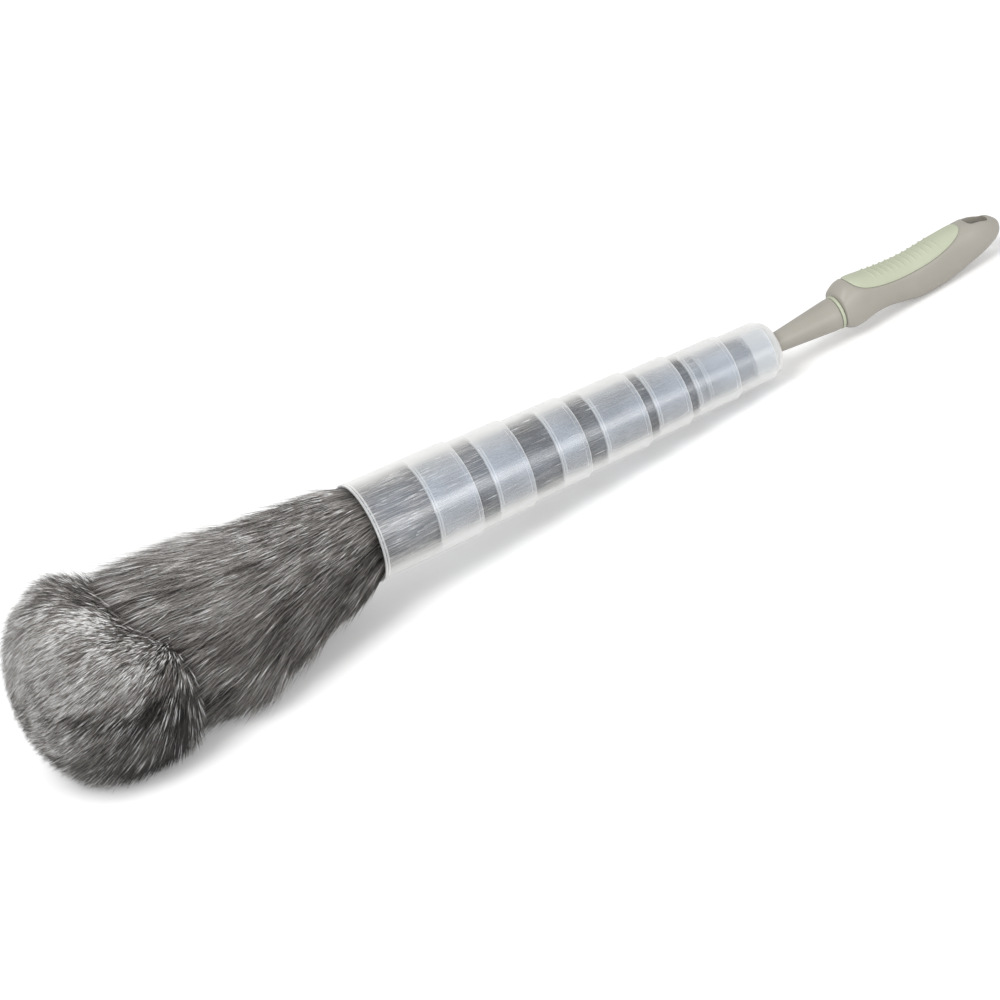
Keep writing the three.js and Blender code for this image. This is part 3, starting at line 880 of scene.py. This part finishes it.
def locks(rings, count, length, seed):
    """Lighter and darker locks, from -1 to 1: so many round the pile, each about so long."""
    chances = np.random.default_rng(seed).uniform(-1, 1, (LOCK_ROWS, count))
    ahead = -rings[..., 0] / length + LOCK_ROWS_BEHIND
    turn = PILE_ANGLES / (2 * math.pi) * count + 0 * ahead
    row, column = np.floor(ahead).astype(int), np.floor(turn).astype(int)
    down, across = smoothstep(0, 1, ahead - row), smoothstep(0, 1, turn - column)

    def between(row):
        first, second = chances[row, column % count], chances[row, (column + 1) % count]
        return first + (second - first) * across

    return between(row) + (between(row + 1) - between(row)) * down


def drawn_in(lock):
    """How far fibres lean round the pile, towards the middle of their lock."""
    return np.roll(lock, -1, axis=1) - np.roll(lock, 1, axis=1)


def combed_fibres():
    """Fibres on a surface: each one leaves its root along lay, curves by bend, and is drawn towards
    the middle of its tuft. The surface carries lay, bend, reach and shade."""
    tree = bpy.data.node_groups.new("combed_fibres", "GeometryNodeTree")
    for name, kind in (
        ("Surface", "Geometry"),
        ("Fibres per square metre", "Float"),
        *((name, "Float") for name in LAYER_INPUTS),
        ("Seed", "Int"),
        ("Finish", "Material"),
    ):
        tree.interface.new_socket(name, in_out="INPUT", socket_type="NodeSocket" + kind)
    tree.interface.new_socket("Fibres", in_out="OUTPUT", socket_type="NodeSocketGeometry")
    given = add_node(tree, "NodeGroupInput").outputs
    seed = given["Seed"]
    read = {
        name: add_node(tree, "GeometryNodeInputNamedAttribute", {"Name": name}, data_type=kind)
        for name, kind in FIBRE_DATA.items()
    }
    place = add_node(tree, "GeometryNodeInputPosition")

    def chance(low, high, shift):
        """A value of each fibre's own, between low and high."""
        own_seed = add_maths(tree, "ADD", seed, shift)
        return add_node(tree, "FunctionNodeRandomValue", {2: low, 3: high, "Seed": own_seed})

    def stored(geometry, name, value, kind, domain="POINT"):
        """The geometry with a value kept under that name."""
        links = {"Geometry": geometry, "Name": name, "Value": value}
        return add_node(
            tree, "GeometryNodeStoreNamedAttribute", links, data_type=kind, domain=domain
        )

    # Roots, and each fibre's own direction, length and tuft
    density = given["Fibres per square metre"]
    roots = add_node(
        tree,
        "GeometryNodeDistributePointsOnFaces",
        {"Mesh": given["Surface"], "Density": density, "Seed": seed},
    )
    any_way = add_node(
        tree,
        "FunctionNodeRandomValue",
        {0: (-1, -1, -1), 1: (1, 1, 1), "Seed": seed},
        data_type="FLOAT_VECTOR",
    )
    stray = add_scaled(tree, any_way, given["Stray"])
    swirl = add_noise(tree, place, SWIRL_SIZE, 2)
    centred = add_vectors(tree, "SUBTRACT", swirl.outputs["Color"], (0.5, 0.5, 0.5))
    sway = add_scaled(tree, centred, given["Sway"])
    leaning = add_vectors(tree, "ADD", read["lay"], stray)
    swaying = add_vectors(tree, "ADD", leaning, sway)
    own_lay = add_vectors(tree, "NORMALIZE", swaying)
    own_reach = add_maths(tree, "MULTIPLY", read["reach"], chance(*LENGTH_CHANCES, LENGTH_SEED))
    own_girth = chance(*GIRTH_CHANCES, GIRTH_SEED)
    far = add_scaled(tree, read["lay"], read["reach"])
    most = add_scaled(tree, far, TUFT_PLACE)
    near_tip = add_vectors(tree, "ADD", read["root"], most)
    tuft_scale = add_maths(tree, "DIVIDE", 1.0, given["Tuft size"])
    tuft = add_node(tree, "ShaderNodeTexVoronoi", {"Vector": near_tip, "Scale": tuft_scale})
    to_tuft = add_vectors(tree, "SUBTRACT", tuft.outputs["Position"], near_tip)
    own_pull = add_scaled(tree, to_tuft, given["Tufting"])

    # Tone: the surface's shade, drifting over patches, with each fibre a little apart
    patch = add_noise(tree, place, PATCH_SIZE, 2)
    patch_off = add_maths(tree, "SUBTRACT", patch, 0.5)
    own_off = chance(-0.5, 0.5, TONE_SEED)
    mixed = add_maths(tree, "MULTIPLY_ADD", patch_off, PATCH_WEIGHT, own_off)
    tone = add_maths(
        tree, "MULTIPLY_ADD", mixed, given["Tone spread"], read["shade"], use_clamp=True
    )
    # Painted glints: a share of the fibres, more over shiny patches and where the shade is lighter, is
    # painted white and drawn thicker
    shiny = add_range(tree, patch, *SHINY_PATCHES, 0.0, given["Glints"])
    lit = add_range(tree, read["shade"], *LIT_SHADES, *LIT_SHARES)
    share = add_maths(tree, "MULTIPLY", shiny, lit)
    painted_glint = add_maths(tree, "LESS_THAN", chance(0.0, 1.0, GLINT_SEED), share)
    bright = add_maths(tree, "MAXIMUM", tone, painted_glint)
    stepped = add_maths(tree, "SNAP", bright, 1 / FIBRE_TONES)
    shown_girth = add_maths(tree, "MULTIPLY_ADD", painted_glint, GLINT_GIRTH, own_girth)

    points = roots.outputs["Points"]
    for name, value in (
        ("lift", roots.outputs["Normal"]),
        ("root", place),
        ("lay", own_lay),
        ("reach", own_reach),
        ("girth", shown_girth),
        ("pull", own_pull),
        ("tone", stepped),
    ):
        points = stored(points, name, value, FIBRE_DATA[name])

    # One straight three-sided fibre, put on every root and then bent to its own curve
    spike = add_node(
        tree,
        "GeometryNodeMeshCone",
        {
            "Vertices": 3,
            "Side Segments": 2,
            "Fill Segments": 1,
            "Radius Top": 0.0,
            "Radius Bottom": 1.0,
            "Depth": 1.0,
        },
    )
    height = add_node(tree, "ShaderNodeSeparateXYZ", {0: place}).outputs["Z"]
    flat = add_vectors(tree, "MULTIPLY", place, (1, 1, 0))
    sideways = add_vectors(tree, "NORMALIZE", flat)
    measured = stored(spike.outputs["Mesh"], "along", height, FIBRE_DATA["along"])
    fibre = stored(measured, "side", sideways, FIBRE_DATA["side"])
    planted = add_node(tree, "GeometryNodeInstanceOnPoints", {"Points": points, "Instance": fibre})
    real = add_node(tree, "GeometryNodeRealizeInstances", {"Geometry": planted})

    squared = add_maths(tree, "MULTIPLY", read["along"], read["along"])
    straight = add_scaled(tree, read["lay"], read["along"])
    curve = add_scaled(tree, read["bend"], squared)
    run = add_vectors(tree, "ADD", straight, curve)
    run_out = add_scaled(tree, run, read["reach"])
    drawn = add_scaled(tree, read["pull"], squared)
    from_root = add_vectors(tree, "ADD", read["root"], run_out)
    spine = add_vectors(tree, "ADD", from_root, drawn)
    crossing = add_vectors(tree, "CROSS_PRODUCT", read["lay"], read["lift"])
    across = add_vectors(tree, "NORMALIZE", crossing)
    over = add_vectors(tree, "CROSS_PRODUCT", across, read["lay"])
    sides = add_node(tree, "ShaderNodeSeparateXYZ", {0: read["side"]}).outputs
    part_across = add_scaled(tree, across, sides["X"])
    part_over = add_scaled(tree, over, sides["Y"])
    round_it = add_vectors(tree, "ADD", part_across, part_over)
    half = add_maths(tree, "MULTIPLY", given["Thickness"], 0.5)
    own_half = add_maths(tree, "MULTIPLY", half, read["girth"])
    skin = add_scaled(tree, round_it, own_half)
    narrowing = add_maths(tree, "SUBTRACT", 1.0, squared)
    narrowed = add_scaled(tree, skin, narrowing)
    point = add_vectors(tree, "ADD", spine, narrowed)
    on_floor = add_vectors(tree, "MAXIMUM", point, LOWEST_PLACE)
    bent = add_node(tree, "GeometryNodeSetPosition", {"Geometry": real, "Position": on_floor})

    # A map whose width is the fibre's tone and whose height is the place along it
    part_y = add_maths(tree, "MULTIPLY", sides["Y"], MAP_SPREAD[1])
    part_xy = add_maths(tree, "MULTIPLY_ADD", sides["X"], MAP_SPREAD[0], part_y)
    column = add_maths(tree, "MULTIPLY_ADD", read["tone"], float(FIBRE_TONES), part_xy)
    across_map = add_range(tree, column, -0.5, FIBRE_TONES + 0.5)
    map_place = add_node(tree, "ShaderNodeCombineXYZ", {0: across_map, 1: read["along"]})
    mapped = stored(bent, "OFBake", map_place, "FLOAT2", "CORNER")
    eased = add_node(tree, "GeometryNodeSetShadeSmooth", {"Geometry": mapped})
    coloured = add_node(
        tree, "GeometryNodeSetMaterial", {"Geometry": eased, "Material": given["Finish"]}
    )
    add_node(tree, "NodeGroupOutput", {"Fibres": coloured})
    return tree


FIBRE_TREE = combed_fibres()


def rooted(name, rings, carried):
    """An open surface in the frame that carries values for the fibres that grow on it."""
    rows, sides = rings.shape[:2]
    index = np.arange(rows * sides).reshape(rows, sides)
    beside = np.roll(index, -1, axis=1)
    faces = np.stack([index[:-1], index[1:], beside[1:], beside[:-1]], axis=-1).reshape(-1, 4)
    mesh = bpy.data.meshes.new(name)
    mesh.from_pydata(from_tool(rings).reshape(-1, 3).tolist(), [], faces.tolist())
    for key, values in carried.items():
        vector = values.ndim == 3
        if vector:
            values = turned_about_y(values, TOOL_TILT)
        attribute = mesh.attributes.new(key, "FLOAT_VECTOR" if vector else "FLOAT", "POINT")
        attribute.data.foreach_set(
            "vector" if vector else "value", values.astype(np.float32).ravel()
        )
    return new_piece(name, mesh)


def grown(name, rings, carried, **settings):
    """A piece of fibres, grown on the surface through the rings."""
    surface = rooted(name, rings, carried)
    area = sum(face.area for face in surface.data.polygons)
    values = {"Fibres per square metre": FIBRES_A_PIECE / area, "Finish": FIBRE, **settings}
    growth = surface.modifiers.new("fibres", "NODES")
    growth.node_group = FIBRE_TREE
    for socket in FIBRE_TREE.interface.items_tree:
        if socket.in_out == "INPUT" and socket.name in values:
            growth[socket.identifier] = values[socket.name]
    made_plain(surface)
    for name in FIBRE_DATA:
        if name in surface.data.attributes and name not in SHADER_DATA:
            surface.data.attributes.remove(surface.data.attributes[name])
    return surface


UP = np.array([0.0, 0.0, 1.0])
TO_TIP = np.array([-1.0, 0.0, 0.0])
FLARE_ROWS = 66
BULB_ROWS = 60
COVERED_ROWS = 240
# Lengths of the fibres, and what is added or taken off in some places
FLARE_REACH = 26
OPENED_REACH = 14
DRAPED_REACH = 12
BULB_REACH = 26
LOW_SIDE_REACH = 5
TIP_REACH_LOSS = 7
COVERED_REACH = 28


def flare_growth(depth, painted_layer_light):
    """The flare's fibres comb out of the mouth, close to the surface."""
    aheads = np.linspace(-2, FLARE_FIBRES_END, FLARE_ROWS)
    rings = pile_rings(aheads, *flare_radius(aheads, depth))
    along, around, out = directions(rings)
    opened = smoothstep(0, FLARE_OPENED, aheads)[:, None]
    at_waist = smoothstep(90, FLARE_FIBRES_END, aheads)[:, None]
    broad = locks(rings, count=34, length=38, seed=1)
    narrow = locks(rings, count=70, length=22, seed=2)
    lean = 0.10 * drawn_in(broad) + 0.05 * drawn_in(narrow)
    draped = overlapped * at_waist
    # Painted light and shade: lighter on top, darker underneath, and painted shade towards the waist
    # and where the flare drapes over the bulb
    shade = 0.49 + 0.10 * out[..., 2] + 0.05 * opened - 0.08 * (at_waist + draped)
    return rings, {
        "lay": along + out * (0.03 + 0.2 * opened)[..., None] + around * lean[..., None],
        "bend": -0.05 * out * opened[..., None] - 0.05 * UP,
        "reach": MM * (FLARE_REACH + OPENED_REACH * opened + DRAPED_REACH * draped),
        "shade": shade + 0.17 * broad + 0.13 * narrow + painted_layer_light,
    }


def bulb_growth(depth, painted_layer_light):
    """The bulb's fibres stand out of the waist, fan away from a parting on the near side and fold
    over towards the tip."""
    reaches = BULB_FIBRES_END - FLARE_END
    aheads = FLARE_END + 1 + reaches * np.sin(np.linspace(0, math.pi / 2, BULB_ROWS))
    rings = pile_rings(aheads, *bulb_radius(aheads, depth))
    along, around, out = directions(rings)
    share = ((aheads - FLARE_END) / (TIP_END - FLARE_END))[:, None]
    at_waist = 1 - smoothstep(0, 0.3, share)
    low_side = np.maximum(-np.cos(PILE_ANGLES - HIGH_SIDE), 0) * (1 - smoothstep(0.25, 0.7, share))
    forward = (0.35 + 0.35 * smoothstep(0, 0.5, share)) * (1 - 0.8 * smoothstep(0.85, 1, share))
    forward = forward + 0.5 * low_side
    stand = (1.0 - 0.25 * smoothstep(0, 0.8, share)) * (1 - 0.65 * overlapped * at_waist)
    # Painted highlight: a lighter band round the near side, past the waist
    painted_highlight = np.maximum(np.cos(PILE_ANGLES - NEAR_SIDE), 0) ** 3 * smoothstep(0.1, 0.35, share)
    near = np.argmax(np.cos(PILE_ANGLES - NEAR_SIDE))
    parting = rings[0, near] + PARTING_OUT * out[0, near] + np.array([PARTING_BACK, 0, 0])
    fan = rings - parting
    fan /= np.linalg.norm(fan, axis=-1, keepdims=True)
    broad = locks(rings, count=22, length=60, seed=3)
    narrow = locks(rings, count=56, length=30, seed=4)
    lean = 0.16 * drawn_in(broad) + 0.06 * drawn_in(narrow)
    # Painted light and shade: lighter facing up, a little less at the very top, darker facing down
    # except near the tip, and painted shade at the waist, deeper where the flare overlaps it; the locks
    # fade at the waist so that it keeps its painted shade
    facing_up, facing_down = smoothstep(0.5, 1, out[..., 2]), smoothstep(0.5, -0.3, out[..., 2])
    facing_down = facing_down * (1 - 0.6 * smoothstep(0.7, 1, share))
    shadowed = 1 - smoothstep(0.05, 0.35 + 0.2 * overlapped, share)
    shade = 0.68 + 0.24 * out[..., 2] - 0.14 * facing_up - 0.45 * facing_down
    shade = shade - (0.28 + 0.2 * overlapped) * shadowed + 0.15 * painted_highlight
    contrast = 1 - 0.6 * at_waist
    at_tip = smoothstep(0.6, 1.0, share)
    stood = along * forward[..., None] + out * stand[..., None] + 0.55 * fan - 0.12 * UP
    return rings, {
        "lay": stood + around * lean[..., None],
        "bend": 0.05 * along - 0.22 * out - 0.08 * UP,
        "reach": MM * (BULB_REACH + LOW_SIDE_REACH * low_side - TIP_REACH_LOSS * at_tip),
        "shade": shade + contrast * (0.38 * broad + 0.22 * narrow) + painted_layer_light,
    }


def covered_growth(depth, painted_layer_light):
    """The covered pile lies pressed flat along the sleeve."""
    places = np.linspace(PILE_END - 1, 0.5, COVERED_ROWS)
    rings = pile_rings(-places, covered_radius(places, depth), 0 * places)
    out = directions(rings)[2]
    shade = 0.58 - 0.40 * smoothstep(30, 130, places)[:, None]
    return rings, {
        "lay": TO_TIP + 0.075 * out,
        "bend": -0.02 * out,
        "reach": np.full(rings.shape[:2], COVERED_REACH * MM),
        "shade": shade + 0.12 * locks(rings, count=40, length=30, seed=5) + painted_layer_light,
    }


# For each layer, how deep its roots lie and how much lighter it is, which is painted shade on the
# deepest layer and painted light on the finest layers on top, and then its LAYER_INPUTS
FLARE_LAYERS = (
    (6.5, -0.06, (0.80 * MM, 0.04, 0.15, 5 * MM, 0.5, 0.7, 0.0)),
    (4.5, 0.0, (0.60 * MM, 0.06, 0.15, 4 * MM, 0.5, 0.9, 0.05)),
    (3.0, 0.03, (0.38 * MM, 0.16, 0.20, 4 * MM, 0.3, 0.9, 0.08)),
    (2.4, 0.03, (0.30 * MM, 0.20, 0.25, 3 * MM, 0.2, 1.0, 0.12)),
)
BULB_LAYERS = (
    (13.0, -0.06, (0.80 * MM, 0.07, 0.40, 7 * MM, 0.5, 0.7, 0.0)),
    (12.0, 0.0, (0.70 * MM, 0.10, 0.40, 6 * MM, 0.5, 0.9, 0.36)),
    (11.0, 0.0, (0.55 * MM, 0.14, 0.40, 4 * MM, 0.4, 1.0, 0.40)),
    (9.0, 0.03, (0.38 * MM, 0.24, 0.40, 4 * MM, 0.3, 1.0, 0.46)),
    (8.0, 0.03, (0.30 * MM, 0.30, 0.40, 4 * MM, 0.2, 1.0, 0.52)),
)
COVERED_LAYERS = ((2.2, 0.0, (0.80 * MM, 0.02, 0.05, 5 * MM, 0.0, 1.0, 0.06)),)

for piece_name, node, growth, layers in (
    ("flare", "fibre_flare", flare_growth, FLARE_LAYERS),
    ("bulb", "fibre_tip", bulb_growth, BULB_LAYERS),
    ("covered", "fibre_covered", covered_growth, COVERED_LAYERS),
):
    for number, (depth, painted_layer_light, inputs) in enumerate(layers, 1):
        name = f"{piece_name}_fibres_{number}"
        settings = dict(zip(LAYER_INPUTS, inputs))
        fibres = grown(name, *growth(depth, painted_layer_light), Seed=number, **settings)
        finished(fibres, "handle", (node,))


def packed(name, rings, node):
    """The packed pile that the fibres stand on, painted dark for the shade deep in the pile."""
    piece = shell(name, from_tool(rings))
    finished(piece, "handle", (node,), (SHADED_UNDER_FIBRE,))


FLARE_PILE_ROWS = 60
FLARE_PILE_DEPTH = 7.5
BULB_PILE_DEPTH = 13.5
COVERED_PILE_DEPTH = 2.4

flare_body = np.linspace(-2, FLARE_END - 1, FLARE_PILE_ROWS)
flare_size, flare_drop = flare_radius(flare_body, FLARE_PILE_DEPTH)
flare_size *= quarter_round((FLARE_END - flare_body) / FLARE_ROUND, WAIST_SHARE, 2)
packed("flare_pile", pile_rings(flare_body, flare_size, flare_drop), "fibre_flare")
packed("bulb_pile", bulb_growth(BULB_PILE_DEPTH, 0)[0], "fibre_tip")
packed("covered_pile", covered_growth(COVERED_PILE_DEPTH, 0)[0], "fibre_covered")

# Stage: a pale floor and soft light. The floor and the sky show white to the camera.

FLOOR_HALF = 6.0
# How far out the floor's glow grows, in metres, and from what strength to what
FLOOR_FADE = (0.5, 2.0)
FLOOR_GLOW = (0.25, 0.55)
SKY_LIGHT = 0.6
SKY_SEEN = 1.0


def floor_finish():
    """A matt pale floor that keeps the object's shadow and runs out to white."""
    material, tree = new_material("pale_studio_floor")
    path = add_node(tree, "ShaderNodeLightPath").outputs
    place = add_node(tree, "ShaderNodeTexCoord").outputs["Object"]
    away = add_vectors(tree, "LENGTH", place).outputs["Value"]
    level = add_range(tree, away, *FLOOR_FADE, *FLOOR_GLOW, interpolation_type="SMOOTHSTEP")
    seen = add_maths(tree, "MAXIMUM", path["Is Camera Ray"], path["Is Glossy Ray"])
    seen_through = add_maths(tree, "MAXIMUM", seen, path["Is Transmission Ray"])
    lifted = add_maths(tree, "MULTIPLY", seen_through, level)
    matt = add_node(tree, "ShaderNodeBsdfDiffuse", {"Color": linear("#F2F2F2")})
    glow = add_node(tree, "ShaderNodeEmission", {"Strength": lifted})
    both = add_node(tree, "ShaderNodeAddShader", {0: matt, 1: glow})
    add_node(tree, "ShaderNodeOutputMaterial", {"Surface": both})
    return material


floor_corners = [(x * FLOOR_HALF, y * FLOOR_HALF, 0.0) for x, y in ((-1, -1), (1, -1), (1, 1), (-1, 1))]
floor_mesh = bpy.data.meshes.new("studio_floor")
floor_mesh.from_pydata(floor_corners, [], [(0, 1, 2, 3)])
floor = new_piece("studio_floor", floor_mesh)
floor_mesh.materials.append(floor_finish())

world = bpy.data.worlds.new("studio")
world.use_nodes = True
sky_tree = world.node_tree
sky_tree.nodes.clear()
sky_path = add_node(sky_tree, "ShaderNodeLightPath").outputs
sky_seen = add_maths(sky_tree, "MAXIMUM", sky_path["Is Camera Ray"], sky_path["Is Glossy Ray"])
sky_level = add_range(sky_tree, sky_seen, 0, 1, SKY_LIGHT, SKY_SEEN)
sky = add_node(
    sky_tree, "ShaderNodeBackground", {"Color": (1.0, 1.0, 1.0, 1.0), "Strength": sky_level}
)
add_node(sky_tree, "ShaderNodeOutputWorld", {"Surface": sky})
bpy.context.scene.world = world


def soft_lamp(name, place, aim, size, power):
    lamp = bpy.data.lights.new(name, "AREA")
    lamp.shape = "SQUARE"
    lamp.size = size
    lamp.energy = power
    holder = bpy.data.objects.new(name, lamp)
    bpy.context.scene.collection.objects.link(holder)
    holder.location = place
    holder.rotation_euler = (Vector(aim) - Vector(place)).to_track_quat("-Z", "Y").to_euler()


soft_lamp("key", place=(-0.9, -0.6, 1.9), aim=(-0.1, 0.0, 0.05), size=1.1, power=25)
soft_lamp("front", place=(0.6, -1.95, 0.42), aim=(-0.05, 0.0, 0.06), size=0.8, power=12)

bpy.context.scene.view_settings.view_transform = "Standard"
